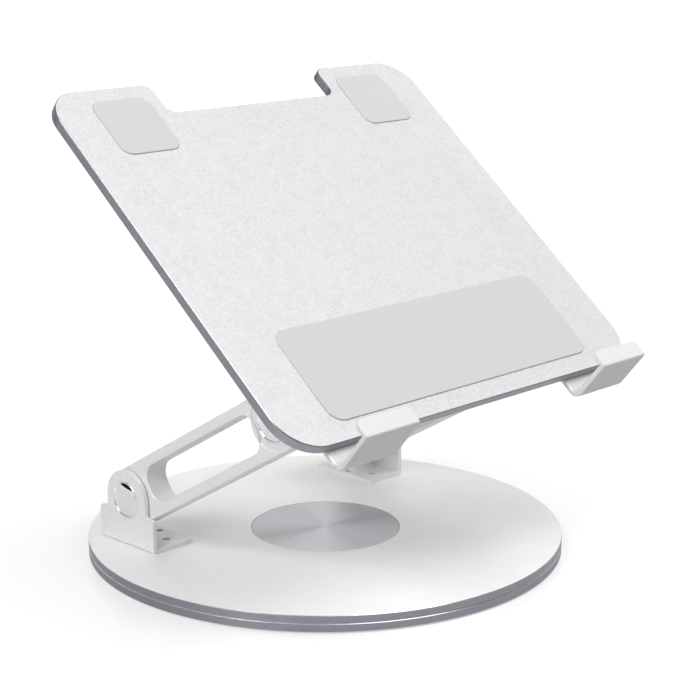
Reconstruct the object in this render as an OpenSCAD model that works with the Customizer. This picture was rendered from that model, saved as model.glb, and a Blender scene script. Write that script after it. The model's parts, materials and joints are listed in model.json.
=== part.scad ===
// Adjustable tablet stand: a swivelling disc base, two arms and a hooked tray.
// Millimetres, +Z up. The origin is the centre of the base on the table,
// the tray faces -Y and +X is the right side seen from the rear.

/* [Base] */
// Diameter of both base discs
base_d = 200; // [190:1:220]
// Thickness of the lower disc
plate_t = 3.25; // [3:0.05:4]
// Thickness of the upper, turning disc
turntable_t = 3.2; // [3.1:0.05:4]
// Gap between the two discs
disc_gap = 0.2; // [0.15:0.05:0.4]
// Height of the rubber mat below the lower disc
foot_h = 0.6; // [0.4:0.1:1]
// Diameter of the spun cap in the middle of the upper disc
centre_cap_d = 62.8; // [58:0.1:70]

/* [Arms] */
// Distance between the two hinge axes
arm_length = 98; // [90:1:110]
// Height of an arm seen from the side
arm_height = 24.5; // [22:0.5:26]
// Thickness of an arm across the stand
arm_t = 10.5; // [9:0.5:11]
// Height of the lower hinge axis above the table
lower_axis_z = 27.2; // [26:0.1:30]
// Distance of the lower hinge axis behind the middle of the base
lower_axis_y = 41.7; // [38:0.1:44]
// Rise of the arms above level as the stand is set up
arm_rise = 30.3; // [25:0.1:40]

/* [Tray] */
// Width of the tray
tray_w = 200; // [190:1:220]
// Length of the tray from its front edge to the tips of its top ears
tray_l = 180; // [175:1:190]
// Thickness of the tray
tray_t = 4.2; // [4:0.1:5]
// Tilt of the tray above level as the stand is set up
tray_tilt = 39.4; // [35:0.1:45]
// Width of the notch in the top edge
notch_w = 93.2; // [80:0.1:100]
// Depth of the notch in the top edge
notch_depth = 16.2; // [12:0.1:20]
// How far the pads stand above the tray
pad_rise = 0.5; // [0.3:0.1:1]

/* [Hooks] */
// Width of a front hook
hook_w = 27.7; // [24:0.1:29]
// Distance between the middles of the two hooks
hook_pitch = 136.7; // [134:0.1:140]
// Thickness of the hook metal
hook_t = 2.1; // [1.8:0.1:2.4]
// Height of the hook lip above the tray
hook_rise = 15.9; // [14:0.1:18]
// Distance of the hook front ahead of the tray edge
hook_reach = 9.3; // [9:0.1:12]

/* [Hinges] */
// Distance between the outer faces of the two base brackets
bracket_span = 148.4; // [147:0.1:150]
// Thickness of the bracket sheet
sheet_t = 2; // [1.8:0.1:2.2]
// Diameter of a hinge pin
pin_d = 8; // [7:0.1:8.5]
// Diameter of a chrome hinge cap
cap_d = 15.1; // [14.8:0.1:15.6]

/* [Hidden] */
$fn = 96;
cut = 1; // how far a cutting shape runs past the face it cuts

silver = "#e3e3e6";
edge_grey = "#74747d";
silicone = "#d4d4d4";
chrome = "#eef0f4";
steel = "#9c9ca2";
rubber = "#2e2e31";

// heights of the base stack
plate_top = foot_h + plate_t;
turntable_bottom = plate_top + disc_gap;
base_top = turntable_bottom + turntable_t;
rim_chamfer = 0.35;

// anti-slip mat in a shallow seat under the lower disc
foot_d = base_d - 10;
foot_seat = 0.6;
foot_top = foot_h + foot_seat;

// slide ring in a groove on the lower disc
slide_outer_d = 124;
slide_inner_d = 104;
slide_groove = 0.6;

// centre pivot
hub_d = 30;
hub_flange_d = 46;
hub_flange_t = 1;
hub_top = turntable_bottom + 1.35;
run_gap = 0.05; // radial clearance of a turning fit
seat_gap = 0.02; // radial clearance of a fixed fit
cap_seat_d = centre_cap_d + 0.2;
cap_seat_depth = 0.9;
washer_pocket_d = 56;
washer_d = 50;
washer_t = 0.75;
hub_screw_circle_d = 20;

// screws with countersunk heads
screw_d = 3;
screw_head_d = 5.6;

// brackets, seen along the hinge axis
bracket_l = 34;
ear_r = arm_height / 2 - 0.1;
base_shoulder = 14.25;
flange_l = 20.7;
bend_r = 1.6;
shoulder_r = 1.5;
screw_side = bracket_span / 2 - 12.5; // the outer screws of a base bracket
screw_spread = 10.1;
screw_step = 4.9;

// hinge stack, from the outside of the right bracket inwards
ear_inner_x = bracket_span / 2 - sheet_t;
washer_gap = 0.46; // thickness of a friction washer
arm_outer_x = ear_inner_x - washer_gap;
arm_inner_x = arm_outer_x - arm_t;
spring_t = 0.9;
nut_t = 3.4;
nut_flat = 13;
head_d = 13.6;
head_t = 0.9;
pocket_depth = 0.6;
tray_ear_outer_x = arm_inner_x - washer_gap;
tray_ear_inner_x = tray_ear_outer_x - sheet_t;
washer_ring_d = 18;
cap_t = 1.35;
cap_wall = 0.3;
pin_overrun = 0.9;

// arm outline: u runs from the lower hinge to the upper one
arm_r = arm_height / 2;
arm_tip = 12; // arm left beyond the upper hinge
arm_tip_r = 8;
window_start = 14.4;
window_end = arm_length - 9.3;
window_h = 15.7;
window_r = 6.3;
pocket_r = 10.9;

// upper hinge axis and tray frame
upper_axis_y = lower_axis_y - arm_length * cos(arm_rise);
upper_axis_z = lower_axis_z + arm_length * sin(arm_rise);
tray_front = 31.4; // tray ahead of the upper hinge
tray_above = 29.65; // tray face above the upper hinge
tray_shoulder = 14.25;
top_corner_r = 15;
front_corner_r = 17.5;
notch_r = 4.5;

// pads sit in shallow seats
pad_seat = 0.5;
pad_gap = 0.1;
main_pad_w = 149;
main_pad_l = 43.5;
main_pad_front = 8;
main_pad_r = 6.3;
corner_pad_w = 28.7;
corner_pad_x = 67.3;
corner_pad_middle = 158.65;
corner_pad_r = 4.7;

// hook
hook_bend_r = 4.2;
hook_lip_l = 7.8;
hook_tail = 12.5;
hook_corner_r = 3;
hook_edge_r = 0.8;
liner_t = 0.9;
liner_inset = 2.2;
liner_low = 0.5;
hook_screw_spread = 15;
hook_screw_s = 6.3;
tray_screw_depth = 3.1;

// ---------- helpers ----------

// rounded rectangle with the corner radii given for the low and high ends
module rounded_rect(w, low, high, r_low, r_high) {
    for (side = [-1, 1]) {
        translate([side * (w / 2 - r_low), low + r_low]) circle(r_low);
        translate([side * (w / 2 - r_high), high - r_high]) circle(r_high);
    }
    translate([-w / 2, low + r_low]) square([w, high - low - r_low - r_high]);
    translate([-w / 2 + r_low, low]) square([w - 2 * r_low, r_low + 0.01]);
    translate([-w / 2 + r_high, high - r_high - 0.01]) square([w - 2 * r_high, r_high + 0.01]);
}

// a filled corner that rounds the inside of a right angle
module fillet_corner(r) {
    difference() {
        square(r);
        translate([r, r]) circle(r);
    }
}

module disc_ring(outer_d, inner_d, low, high) {
    translate([0, 0, low]) difference() {
        cylinder(h = high - low, d = outer_d);
        translate([0, 0, -cut]) cylinder(h = high - low + 2 * cut, d = inner_d);
    }
}

// extrudes a side view (y, z) along X between two positions
module side_plate(x_low, x_high) {
    translate([x_low, 0, 0]) rotate([90, 0, 90]) linear_extrude(x_high - x_low) children();
}

// a cylinder along X through the origin's Y and Z
module axle(x_low, x_high, d, sides = 96) {
    translate([x_low, 0, 0]) rotate([0, 90, 0]) cylinder(h = x_high - x_low, d = d, $fn = sides);
}

module at_lower_axis() {
    translate([0, lower_axis_y, lower_axis_z]) children();
}

module at_upper_axis() {
    translate([0, upper_axis_y, upper_axis_z]) children();
}

// arm frame: -Y runs up the arm from the lower hinge
module in_arm_frame() {
    at_lower_axis() rotate([-arm_rise, 0, 0]) children();
}

// tray frame: +Y runs up the tray from its front edge, Z = 0 is its face
module in_tray_frame() {
    at_upper_axis() rotate([tray_tilt, 0, 0]) translate([0, -tray_front, tray_above]) children();
}

// mirrors a right-hand part to the left
module to_left() {
    mirror([1, 0, 0]) children();
}

// countersunk screw along +Z with its head's flat face at z = 0
module countersunk(length, grow = 0) {
    cylinder(h = length, d = screw_d + 2 * grow);
    cylinder(h = (screw_head_d - screw_d) / 2, d1 = screw_head_d + 2 * grow, d2 = screw_d + 2 * grow);
}

module cone_cut(grow) {
    translate([0, 0, -cut]) cylinder(h = cut + 0.001, d = screw_head_d + 2 * grow);
}

// ---------- base ----------

module foot_mat() {
    color(rubber) cylinder(h = foot_top, d = foot_d, $fn = 180);
}

module chamfered_disc(low, high, chamfer_low, chamfer_high) {
    r = base_d / 2;
    rotate_extrude($fn = 180) polygon([
        [0, low], [r - chamfer_low, low], [r, low + chamfer_low],
        [r, high - chamfer_high], [r - chamfer_high, high], [0, high]]);
}

module hub_screw_places() {
    for (turn = [0, 120, 240]) rotate(turn) translate([hub_screw_circle_d / 2, 0, 0]) children();
}

module base_plate() {
    color(edge_grey) difference() {
        chamfered_disc(foot_h, plate_top, rim_chamfer, rim_chamfer);
        translate([0, 0, foot_h - cut]) cylinder(h = foot_seat + cut, d = foot_d + seat_gap, $fn = 180);
        disc_ring(slide_outer_d + seat_gap, slide_inner_d - seat_gap,
            plate_top - slide_groove, plate_top + cut);
        translate([0, 0, foot_h - cut]) cylinder(h = plate_t + 2 * cut, d = hub_d + 2 * seat_gap);
        translate([0, 0, foot_top - cut])
            cylinder(h = hub_flange_t + cut, d = hub_flange_d + 2 * seat_gap);
    }
}

module slide_ring() {
    color("#f4f4ef") disc_ring(slide_outer_d, slide_inner_d, plate_top - slide_groove, turntable_bottom);
}

module hub_screw_shape(grow) {
    hub_screw_places() translate([0, 0, hub_top + washer_t]) mirror([0, 0, 1]) {
        countersunk(hub_top + washer_t - foot_top - hub_flange_t, grow);
        if (grow > 0) cone_cut(grow);
    }
}

module pivot_hub() {
    color(steel) difference() {
        union() {
            translate([0, 0, foot_top]) cylinder(h = hub_top - foot_top, d = hub_d);
            translate([0, 0, foot_top]) cylinder(h = hub_flange_t, d = hub_flange_d);
        }
        hub_screw_shape(seat_gap);
    }
}

module retaining_washer() {
    color(steel) difference() {
        translate([0, 0, hub_top]) cylinder(h = washer_t, d = washer_d);
        hub_screw_shape(seat_gap);
    }
}

module hub_screws() {
    color(steel) hub_screw_shape(0);
}

// ---------- turntable ----------

// the three screws under a base bracket, on the right side
module bracket_screw_places() {
    for (place = [[0, -screw_spread], [-screw_step, 0], [0, screw_spread]])
        translate([screw_side + place[0], lower_axis_y + place[1], turntable_bottom]) children();
}

module bracket_screw_shape(length, grow) {
    for (side = [0, 1]) mirror([side, 0, 0]) bracket_screw_places() {
        countersunk(length, grow);
        if (grow > 0) cone_cut(grow);
    }
}

module turntable() {
    color(silver) difference() {
        chamfered_disc(turntable_bottom, base_top, rim_chamfer, rim_chamfer);
        translate([0, 0, turntable_bottom - cut])
            cylinder(h = turntable_t + 2 * cut, d = hub_d + 2 * run_gap);
        translate([0, 0, hub_top - run_gap])
            cylinder(h = turntable_t + cut, d = washer_pocket_d);
        translate([0, 0, base_top - cap_seat_depth])
            cylinder(h = cap_seat_depth + cut, d = cap_seat_d);
        bracket_screw_shape(turntable_t + 2 * cut, seat_gap);
    }
}

module centre_cap() {
    color("#c9cbd2") translate([0, 0, base_top - cap_seat_depth])
        cylinder(h = cap_seat_depth - 0.05, d = centre_cap_d, $fn = 180);
}

module bracket_screws() {
    color(steel) bracket_screw_shape(turntable_t + sheet_t - 0.45, 0);
}

// ear plate seen from the side, hinge axis at the origin, foot at -drop
module ear_outline(drop, shoulder) {
    circle(ear_r);
    translate([-ear_r, -drop]) square([2 * ear_r, drop]);
    difference() {
        translate([-bracket_l / 2, -drop]) square([bracket_l, shoulder]);
        for (side = [0, 1]) mirror([side, 0])
            translate([bracket_l / 2, shoulder - drop]) rotate(180) fillet_corner(shoulder_r);
    }
    for (side = [0, 1]) mirror([side, 0])
        translate([ear_r, shoulder - drop]) fillet_corner(shoulder_r);
}

// L bracket: an ear plate at x_out and a flange that runs inwards
module hinge_bracket(x_out, drop, shoulder, bore_gap) {
    difference() {
        union() {
            side_plate(x_out - sheet_t, x_out) ear_outline(drop, shoulder);
            translate([x_out - flange_l, -bracket_l / 2, -drop]) cube([flange_l, bracket_l, sheet_t]);
        }
        translate([x_out, 0, -drop]) rotate([90, 0, 0]) translate([0, 0, -bracket_l]) mirror([1, 0, 0])
            linear_extrude(2 * bracket_l) difference() {
                translate([-cut, -cut]) square(bend_r + cut);
                translate([bend_r, bend_r]) circle(bend_r);
            }
        axle(x_out - sheet_t - cut, x_out + cut, pin_d + 2 * bore_gap);
    }
}

module base_bracket_right() {
    color(silver) difference() {
        at_lower_axis() hinge_bracket(bracket_span / 2, lower_axis_z - base_top, base_shoulder, seat_gap);
        bracket_screw_shape(turntable_t + sheet_t + cut, seat_gap);
    }
}

module base_bracket_left() {
    to_left() base_bracket_right();
}

// ---------- hinge parts, right side, hinge axis on X ----------

// hollow chrome cap that hides a pin head standing on the face at x
module hinge_cap(x) {
    color(chrome) difference() {
        axle(x, x + cap_t, cap_d);
        axle(x - cut, x + cap_t - cap_wall, cap_d - 1.1);
    }
}

module hinge_pin(x_end, x_face) {
    color(steel) {
        axle(x_end, x_face + head_t / 2, pin_d);
        axle(x_face, x_face + head_t, head_d);
    }
}

module washer(x_low, x_high, d, bore_gap) {
    difference() {
        axle(x_low, x_high, d);
        axle(x_low - cut, x_high + cut, pin_d + 2 * bore_gap);
    }
}

// nut on the inner end of a pin, x is its outer face
module hinge_nut(x) {
    color(steel) difference() {
        axle(x - nut_t, x, nut_flat / cos(30), 6);
        axle(x - nut_t - cut, x + cut, pin_d + 2 * seat_gap);
    }
}

module lower_pin_right() {
    at_lower_axis() hinge_pin(arm_inner_x - spring_t - nut_t - pin_overrun, bracket_span / 2);
}

module lower_cap_right() {
    at_lower_axis() hinge_cap(bracket_span / 2);
}

module lower_friction_washer_right() {
    color("#55565b") at_lower_axis() washer(arm_outer_x, ear_inner_x, washer_ring_d, seat_gap);
}

module lower_spring_washer_right() {
    color(steel) at_lower_axis() washer(arm_inner_x - spring_t, arm_inner_x, washer_ring_d, seat_gap);
}

module lower_nut_right() {
    at_lower_axis() hinge_nut(arm_inner_x - spring_t);
}

module upper_pin_right() {
    at_upper_axis()
        hinge_pin(tray_ear_inner_x - spring_t - nut_t - pin_overrun, arm_outer_x - pocket_depth);
}

module upper_cap_right() {
    at_upper_axis() hinge_cap(arm_outer_x - pocket_depth);
}

module upper_friction_washer_right() {
    color("#55565b") at_upper_axis()
        washer(tray_ear_outer_x, arm_inner_x, washer_ring_d, seat_gap);
}

module upper_spring_washer_right() {
    color(steel) at_upper_axis()
        washer(tray_ear_inner_x - spring_t, tray_ear_inner_x, washer_ring_d, seat_gap);
}

module upper_nut_right() {
    at_upper_axis() hinge_nut(tray_ear_inner_x - spring_t);
}

module lower_pin_left() { to_left() lower_pin_right(); }
module lower_cap_left() { to_left() lower_cap_right(); }
module lower_friction_washer_left() { to_left() lower_friction_washer_right(); }
module lower_spring_washer_left() { to_left() lower_spring_washer_right(); }
module lower_nut_left() { to_left() lower_nut_right(); }
module upper_pin_left() { to_left() upper_pin_right(); }
module upper_cap_left() { to_left() upper_cap_right(); }
module upper_friction_washer_left() { to_left() upper_friction_washer_right(); }
module upper_spring_washer_left() { to_left() upper_spring_washer_right(); }
module upper_nut_left() { to_left() upper_nut_right(); }

// ---------- arms ----------

module arm_outline() {
    circle(arm_r);
    translate([-arm_length - arm_tip + arm_tip_r, -arm_r])
        square([arm_length + arm_tip - arm_tip_r, 2 * arm_r]);
    for (side = [-1, 1])
        translate([-arm_length - arm_tip + arm_tip_r, side * (arm_r - arm_tip_r)]) circle(arm_tip_r);
    translate([-arm_length - arm_tip, -arm_r + arm_tip_r])
        square([arm_tip_r, 2 * (arm_r - arm_tip_r)]);
}

module arm_window() {
    rotate(90) rounded_rect(window_h, window_start, window_end, window_r, window_r);
}

module arm_right() {
    color(silver) in_arm_frame() difference() {
        side_plate(arm_inner_x, arm_outer_x) difference() {
            arm_outline();
            arm_window();
        }
        axle(arm_inner_x - cut, arm_outer_x + cut, pin_d + 2 * run_gap);
        translate([0, -arm_length, 0]) {
            axle(arm_inner_x - cut, arm_outer_x + cut, pin_d + 2 * seat_gap);
            axle(arm_outer_x - pocket_depth, arm_outer_x + cut, 2 * pocket_r);
        }
    }
}

module arm_left() {
    to_left() arm_right();
}

// ---------- tray ----------

module tray_outline() {
    difference() {
        rounded_rect(tray_w, 0, tray_l, front_corner_r, top_corner_r);
        translate([-notch_w / 2, tray_l - notch_depth]) square([notch_w, notch_depth + cut]);
        for (side = [0, 1]) mirror([side, 0])
            translate([notch_w / 2, tray_l]) mirror([0, 1]) fillet_corner(notch_r);
    }
    for (side = [0, 1]) mirror([side, 0])
        translate([notch_w / 2, tray_l - notch_depth]) mirror([1, 0]) fillet_corner(notch_r);
}

// the three screws that hold a tray bracket, on the right side
module tray_bracket_screw_places() {
    for (place = [[0, -screw_spread], [-screw_step, 0], [0, screw_spread]])
        translate([tray_ear_outer_x - 11.5 + place[0], tray_front + place[1], -tray_t - sheet_t])
            children();
}

module tray_bracket_screw_shape(grow) {
    for (side = [0, 1]) mirror([side, 0, 0]) tray_bracket_screw_places() {
        countersunk(sheet_t + tray_screw_depth, grow);
        if (grow > 0) cone_cut(grow);
    }
}

module hook_screw_shape(grow) {
    for (side = [-1, 1], step = [-0.5, 0.5])
        translate([side * hook_pitch / 2 + step * hook_screw_spread, hook_screw_s, -tray_t - hook_t]) {
            countersunk(hook_t + tray_screw_depth, grow);
            if (grow > 0) cone_cut(grow);
        }
}

module pad_shape(w, low, high, r, z_low, z_high) {
    translate([0, 0, z_low]) linear_extrude(z_high - z_low) rounded_rect(w, low, high, r, r);
}

// seats in the tray and pads share one outline, the seat is wider by the gap
module main_pad_shape(gap, z_low, z_high) {
    pad_shape(main_pad_w + 2 * gap, main_pad_front - gap, main_pad_front + main_pad_l + gap,
        main_pad_r + gap, z_low, z_high);
}

module corner_pad_shape(gap, z_low, z_high) {
    half = corner_pad_w / 2 + gap;
    translate([corner_pad_x, 0, 0]) pad_shape(2 * half, corner_pad_middle - half,
        corner_pad_middle + half, corner_pad_r + gap, z_low, z_high);
}

module tray() {
    color(silver) in_tray_frame() difference() {
        translate([0, 0, -tray_t]) linear_extrude(tray_t) tray_outline();
        main_pad_shape(pad_gap, -pad_seat, cut);
        for (side = [0, 1]) mirror([side, 0, 0]) corner_pad_shape(pad_gap, -pad_seat, cut);
        tray_bracket_screw_shape(seat_gap);
        hook_screw_shape(seat_gap);
    }
}

module main_pad() {
    color(silicone) in_tray_frame() main_pad_shape(0, -pad_seat, pad_rise);
}

module corner_pad_right() {
    color(silicone) in_tray_frame() corner_pad_shape(0, -pad_seat, pad_rise);
}

module corner_pad_left() {
    to_left() corner_pad_right();
}

module tray_bracket_right() {
    color(silver) in_tray_frame() difference() {
        translate([0, tray_front, -tray_above]) mirror([0, 0, 1])
            hinge_bracket(tray_ear_outer_x, tray_above - tray_t, tray_shoulder, run_gap);
        tray_bracket_screw_shape(seat_gap);
    }
}

module tray_bracket_left() {
    to_left() tray_bracket_right();
}

module tray_screws() {
    color(steel) in_tray_frame() tray_bracket_screw_shape(0);
}

module hook_screws() {
    color(steel) in_tray_frame() hook_screw_shape(0);
}

// hook seen from the side: flange, rounded bend, front plate and lip
module hook_outline() {
    under = -tray_t - hook_t;
    inner_r = hook_bend_r - hook_t;
    bend = [-hook_reach + hook_bend_r, under + hook_bend_r];
    translate([bend[0], under]) square([hook_tail - bend[0], hook_t]);
    intersection() {
        difference() {
            translate(bend) circle(hook_bend_r);
            translate(bend) circle(inner_r);
        }
        translate([bend[0] - hook_bend_r, bend[1] - hook_bend_r]) square(hook_bend_r);
    }
    translate([-hook_reach, bend[1]]) square([hook_t, hook_rise - bend[1] - hook_edge_r]);
    translate([-hook_reach + hook_edge_r, hook_rise - hook_t]) square([hook_lip_l - hook_edge_r, hook_t]);
    translate([-hook_reach + hook_edge_r, hook_rise - hook_edge_r]) circle(hook_edge_r);
}

// plan of a hook: the lip has round corners
module hook_plan() {
    lip_end = -hook_reach + hook_lip_l;
    rounded_rect(hook_w, -hook_reach - 2 * hook_corner_r, lip_end, hook_corner_r, hook_corner_r);
}

module hook_right() {
    color(silicone) in_tray_frame() translate([hook_pitch / 2, 0, 0]) difference() {
        side_plate(-hook_w / 2, hook_w / 2) hook_outline();
        translate([0, 0, hook_rise - hook_t - 0.001]) linear_extrude(hook_t + cut) difference() {
            translate([-hook_w / 2 - cut, -hook_reach + hook_t + 0.4])
                square([hook_w + 2 * cut, hook_lip_l]);
            hook_plan();
        }
        translate([-hook_pitch / 2, 0, 0]) hook_screw_shape(seat_gap);
    }
}

module hook_left() {
    to_left() hook_right();
}

module hook_liner_right() {
    low = -tray_t - hook_t + hook_bend_r + liner_low;
    color(silicone) in_tray_frame() translate([hook_pitch / 2, -hook_reach + hook_t, 0])
        translate([-hook_w / 2 + liner_inset, 0, low])
            cube([hook_w - 2 * liner_inset, liner_t, hook_rise - hook_t - low]);
}

module hook_liner_left() {
    to_left() hook_liner_right();
}

// ---------- assembly ----------

foot_mat();
base_plate();
slide_ring();
pivot_hub();
retaining_washer();
hub_screws();
turntable();
centre_cap();
bracket_screws();
base_bracket_left();
lower_pin_left();
lower_cap_left();
lower_friction_washer_left();
lower_spring_washer_left();
lower_nut_left();
base_bracket_right();
lower_pin_right();
lower_cap_right();
lower_friction_washer_right();
lower_spring_washer_right();
lower_nut_right();
arm_left();
upper_pin_left();
upper_cap_left();
upper_friction_washer_left();
upper_spring_washer_left();
upper_nut_left();
arm_right();
upper_pin_right();
upper_cap_right();
upper_friction_washer_right();
upper_spring_washer_right();
upper_nut_right();
tray();
main_pad();
corner_pad_left();
corner_pad_right();
tray_bracket_left();
tray_bracket_right();
tray_screws();
hook_left();
hook_right();
hook_liner_left();
hook_liner_right();
hook_screws();
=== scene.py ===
# Folding tablet stand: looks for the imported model.
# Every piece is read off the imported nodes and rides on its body.
import json
import math

import bmesh
import bpy
from mathutils import Matrix, Vector


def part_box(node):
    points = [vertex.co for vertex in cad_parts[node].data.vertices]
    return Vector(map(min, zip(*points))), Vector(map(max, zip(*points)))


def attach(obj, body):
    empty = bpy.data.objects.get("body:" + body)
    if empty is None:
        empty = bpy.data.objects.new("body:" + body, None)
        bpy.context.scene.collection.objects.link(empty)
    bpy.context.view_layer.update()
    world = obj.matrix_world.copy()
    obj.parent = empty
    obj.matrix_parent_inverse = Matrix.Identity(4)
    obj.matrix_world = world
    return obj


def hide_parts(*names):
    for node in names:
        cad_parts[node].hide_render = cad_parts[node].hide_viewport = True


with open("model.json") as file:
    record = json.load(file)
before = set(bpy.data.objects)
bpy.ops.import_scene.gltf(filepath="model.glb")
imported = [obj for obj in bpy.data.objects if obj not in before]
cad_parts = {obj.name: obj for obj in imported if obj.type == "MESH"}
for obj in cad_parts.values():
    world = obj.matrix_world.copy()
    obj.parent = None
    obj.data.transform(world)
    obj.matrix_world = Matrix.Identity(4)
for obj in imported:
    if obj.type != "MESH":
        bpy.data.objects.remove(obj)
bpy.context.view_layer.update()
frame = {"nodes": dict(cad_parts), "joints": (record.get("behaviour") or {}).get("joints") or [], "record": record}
nodes = frame["nodes"]
joints = {joint["name"]: joint for joint in frame["joints"]}
mounts = {mount["name"]: mount for mount in frame["record"]["mounts"]}
mm = 0.001
near = {"point": 1e-6, "weld": 1e-7, "cut": 1e-8}  # lengths that count as nothing
sides = {"left": -1, "right": 1}
print("loaded", len(nodes), "nodes")


# frames that the pieces are built in

def axes(xAxis, yAxis, zAxis, origin):
    rows = [list(xAxis) + [0], list(yAxis) + [0], list(zAxis) + [0], list(origin) + [1]]
    return Matrix(rows).transposed()


def localBox(name, place):
    # lowest and highest corner of a node, measured along the axes of a place
    back = place.inverted()
    points = [back @ vertex.co for vertex in nodes[name].data.vertices]
    low = Vector([min(point[i] for point in points) for i in range(3)])
    high = Vector([max(point[i] for point in points) for i in range(3)])
    return low, high


lowerAxis = Vector(joints["arm_hinge"]["pos_m"])
upperAxis = Vector(joints["tray_hinge"]["pos_m"])
across = Vector((1, 0, 0))
alongArm = (upperAxis - lowerAxis).normalized()
trayNormal = Vector(mounts["tablet_face"]["axis"]).normalized()
upTray = trayNormal.cross(across)

# tray frame: x across the stand, y up the tray from its front edge, z = 0 on its face
trayPlace = axes(across, upTray, trayNormal, (0, 0, 0))
trayLow, trayHigh = localBox("tray", trayPlace)
trayPlace = trayPlace @ Matrix.Translation((0, trayLow.y, trayHigh.z))


# mesh helpers

def arcCorner(before, here, after, radius, steps):
    # the points that round one corner of a line
    here = Vector(here[:2])
    toBefore = (Vector(before[:2]) - here).normalized()
    toAfter = (Vector(after[:2]) - here).normalized()
    if radius <= 0:
        return [here]
    half = toBefore.angle(toAfter) / 2
    centre = here + (toBefore + toAfter).normalized() * (radius / math.sin(half))
    start = here + toBefore * (radius / math.tan(half)) - centre
    sweep = math.pi - 2 * half
    if toBefore.cross(toAfter) > 0:
        sweep = -sweep
    return [centre + Matrix.Rotation(sweep * i / steps, 2) @ start for i in range(steps + 1)]


def withoutRepeats(points):
    kept = []
    for point in points:
        if not kept or (point - kept[-1]).length > near["point"]:
            kept.append(point)
    return kept


def roundOutline(corners, steps):
    # closed outline from (x, y, radius) corners
    points = []
    for i, corner in enumerate(corners):
        points += arcCorner(corners[i - 1], corner, corners[(i + 1) % len(corners)], corner[2], steps)
    points = withoutRepeats(points)
    if (points[0] - points[-1]).length < near["point"]:
        points.pop()
    return points


def roundPath(corners, steps):
    # open line from (x, y, radius) corners
    points = [Vector(corners[0][:2])]
    for before, here, after in zip(corners, corners[1:], corners[2:]):
        points += arcCorner(before, here, after, here[2], steps)
    return withoutRepeats(points + [Vector(corners[-1][:2])])


def circle(x, y, radius, steps=48):
    turns = [2 * math.pi * i / steps for i in range(steps)]
    return [Vector((x + radius * math.cos(turn), y + radius * math.sin(turn))) for turn in turns]


def boxCorners(xLow, xHigh, yLow, yHigh, radius):
    return [(xLow, yLow, radius), (xHigh, yLow, radius), (xHigh, yHigh, radius), (xLow, yHigh, radius)]


def shrink(outline, amount):
    # moves a closed outline inwards, or outwards where amount is negative
    after = outline[1:] + outline[:1]
    side = 1 if sum(here.cross(there) for here, there in zip(outline, after)) > 0 else -1
    moved = []
    for i, here in enumerate(outline):
        back = (here - outline[i - 1]).normalized()
        ahead = (after[i] - here).normalized()
        normal = Vector((-back.y - ahead.y, back.x + ahead.x)).normalized() * side
        lean = normal.dot(Vector((-back.y, back.x))) * side
        moved.append(here + normal * (amount / max(lean, 0.5)))
    return moved


def edgeSteps(zLow, zHigh, edge, steps):
    # (inset, z) pairs up a wall whose two edges are rounded, or chamfered with one step
    turns = [math.pi / 2 * i / steps for i in range(steps + 1)]
    pairs = [(edge * (1 - math.sin(turn)), zLow + edge * (1 - math.cos(turn))) for turn in turns]
    pairs += [(edge * (1 - math.cos(turn)), zHigh - edge * (1 - math.sin(turn))) for turn in turns]
    return pairs


def addWall(bm, rings):
    # quads between closed rings of equal length; gives back the first and the last ring
    made = [[bm.verts.new(point) for point in ring] for ring in rings]
    for lower, upper in zip(made, made[1:]):
        for i in range(len(lower)):
            j = (i + 1) % len(lower)
            bm.faces.new((lower[i], lower[j], upper[j], upper[i]))
    return made[0], made[-1]


def addCap(bm, loops):
    # fills the flat region between an outer ring and the rings inside it
    edges = []
    for loop in loops:
        for i, vertex in enumerate(loop):
            pair = (loop[i - 1], vertex)
            edges.append(bm.edges.get(pair) or bm.edges.new(pair))
    bmesh.ops.triangle_fill(bm, use_beauty=True, use_dissolve=False, edges=edges)


def wallRings(outline, pairs):
    return [[Vector((point.x, point.y, z)) for point in shrink(outline, inset)] for inset, z in pairs]


def plate(outline, zLow, zHigh, edge, steps, holes=(), pockets=()):
    # flat plate with worked edges; a hole is (outline, wall pairs) and a pocket (outline, depth)
    bm = bmesh.new()
    low, high = addWall(bm, wallRings(outline, edgeSteps(zLow, zHigh, edge, steps)))
    lows, highs = [low], [high]
    for ring, pairs in holes:
        low, high = addWall(bm, wallRings(ring, [(-inset, z) for inset, z in pairs]))
        lows.append(low)
        highs.append(high)
    for ring, depth in pockets:
        floor, rim = addWall(bm, wallRings(ring, [(0, zHigh - depth), (0, zHigh)]))
        highs.append(rim)
        addCap(bm, [floor])
    addCap(bm, lows)
    addCap(bm, highs)
    bmesh.ops.remove_doubles(bm, verts=bm.verts, dist=near["weld"])
    bmesh.ops.recalc_face_normals(bm, faces=bm.faces)
    return bm


def lathe(profile, segments, closed=False):
    # turns (radius, height) points about the z axis, where a ring is one point
    bm = bmesh.new()
    turns = [2 * math.pi * i / segments for i in range(segments)]
    rings = []
    for radius, height in profile:
        if radius < near["cut"]:
            rings.append([bm.verts.new((0, 0, height))])
        else:
            points = [(radius * math.cos(turn), radius * math.sin(turn), height) for turn in turns]
            rings.append([bm.verts.new(point) for point in points])
    if closed:
        rings.append(rings[0])
    for lower, upper in zip(rings, rings[1:]):
        for i in range(segments):
            j = (i + 1) % segments
            pairs = [(lower, i), (lower, j), (upper, j), (upper, i)]
            corners = list(dict.fromkeys(ring[at % len(ring)] for ring, at in pairs))
            if len(corners) > 2:
                bm.faces.new(corners)
    bmesh.ops.recalc_face_normals(bm, faces=bm.faces)
    return bm


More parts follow.
